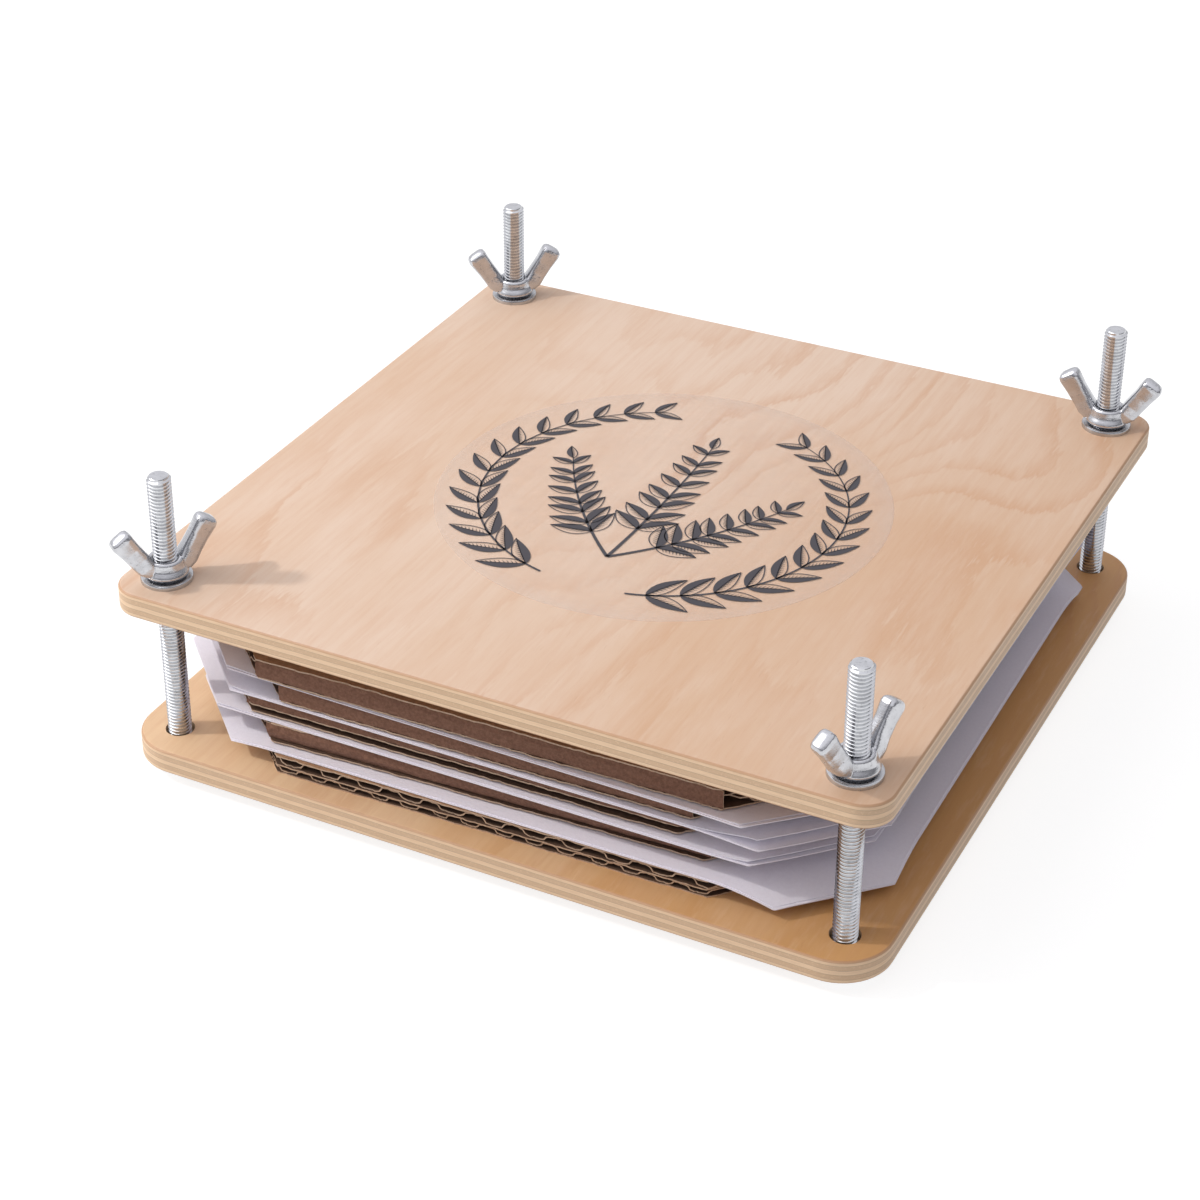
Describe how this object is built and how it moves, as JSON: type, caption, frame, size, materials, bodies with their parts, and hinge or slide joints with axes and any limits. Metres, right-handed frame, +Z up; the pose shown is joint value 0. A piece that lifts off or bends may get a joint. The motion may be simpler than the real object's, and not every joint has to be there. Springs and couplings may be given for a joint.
{
  "type": "flower press",
  "caption": "Square plywood flower press: boards on coach bolts, tightened with wing nuts over a stack of corrugated cards and white blotting papers",
  "frame": {"origin": "on the table, under the middle of the boards", "axes": "+Z up along the bolts, +X to the right and +Y to the back as pictured"},
  "size_m": [0.1708, 0.1698, 0.0689],
  "materials": {
    "birch_plywood": "sanded, bare",
    "zinc_steel": "bright zinc plated",
    "washer_steel": "zinc plated",
    "kraft_card": "matte kraft",
    "blotting_paper": "matte",
    "clear_film": "clear satin film"
  },
  "bodies": {
    "base": {"lower_board": "birch_plywood", "bolt_front_left": "zinc_steel", "bolt_front_right": "zinc_steel", "bolt_back_left": "zinc_steel", "bolt_back_right": "zinc_steel", "corrugated_card_1": "kraft_card", "corrugated_card_2": "kraft_card", "corrugated_card_3": "kraft_card", "corrugated_card_4": "kraft_card", "corrugated_card_5": "kraft_card", "corrugated_card_6": "kraft_card", "blotting_paper_1": "blotting_paper", "blotting_paper_2": "blotting_paper", "blotting_paper_3": "blotting_paper", "blotting_paper_4": "blotting_paper", "blotting_paper_5": "blotting_paper", "blotting_paper_6": "blotting_paper", "blotting_paper_7": "blotting_paper", "blotting_paper_8": "blotting_paper"},
    "pressing_board": {"upper_board": "birch_plywood", "label_film": "clear_film", "washer_front_left": "washer_steel", "washer_front_right": "washer_steel", "washer_back_left": "washer_steel", "washer_back_right": "washer_steel"},
    "wing_nut_front_left": {"wing_nut_front_left": "zinc_steel"},
    "wing_nut_front_right": {"wing_nut_front_right": "zinc_steel"},
    "wing_nut_back_left": {"wing_nut_back_left": "zinc_steel"},
    "wing_nut_back_right": {"wing_nut_back_right": "zinc_steel"}
  },
  "joints": [
    {"name": "board_lift", "type": "slide", "parent": "base", "child": "pressing_board", "axis": [0, 0, 1], "range_m": [0, 0.0168]},
    {"name": "wing_nut_front_left_turn", "type": "hinge", "parent": "pressing_board", "child": "wing_nut_front_left", "pos_m": [-0.075, -0.075, 0.046], "axis": [0, 0, 1], "range_deg": [0, 7560]},
    {"name": "wing_nut_front_right_turn", "type": "hinge", "parent": "pressing_board", "child": "wing_nut_front_right", "pos_m": [0.075, -0.075, 0.046], "axis": [0, 0, 1], "range_deg": [0, 7560]},
    {"name": "wing_nut_back_left_turn", "type": "hinge", "parent": "pressing_board", "child": "wing_nut_back_left", "pos_m": [-0.075, 0.075, 0.046], "axis": [0, 0, 1], "range_deg": [0, 7560]},
    {"name": "wing_nut_back_right_turn", "type": "hinge", "parent": "pressing_board", "child": "wing_nut_back_right", "pos_m": [0.075, 0.075, 0.046], "axis": [0, 0, 1], "range_deg": [0, 7560]}
  ],
  "couplings": [
    {"joint": "wing_nut_front_left_turn", "follows": "board_lift", "rad_per_m": 7853.9},
    {"joint": "wing_nut_front_right_turn", "follows": "board_lift", "rad_per_m": 7853.9},
    {"joint": "wing_nut_back_left_turn", "follows": "board_lift", "rad_per_m": 7853.9},
    {"joint": "wing_nut_back_right_turn", "follows": "board_lift", "rad_per_m": 7853.9}
  ]
}
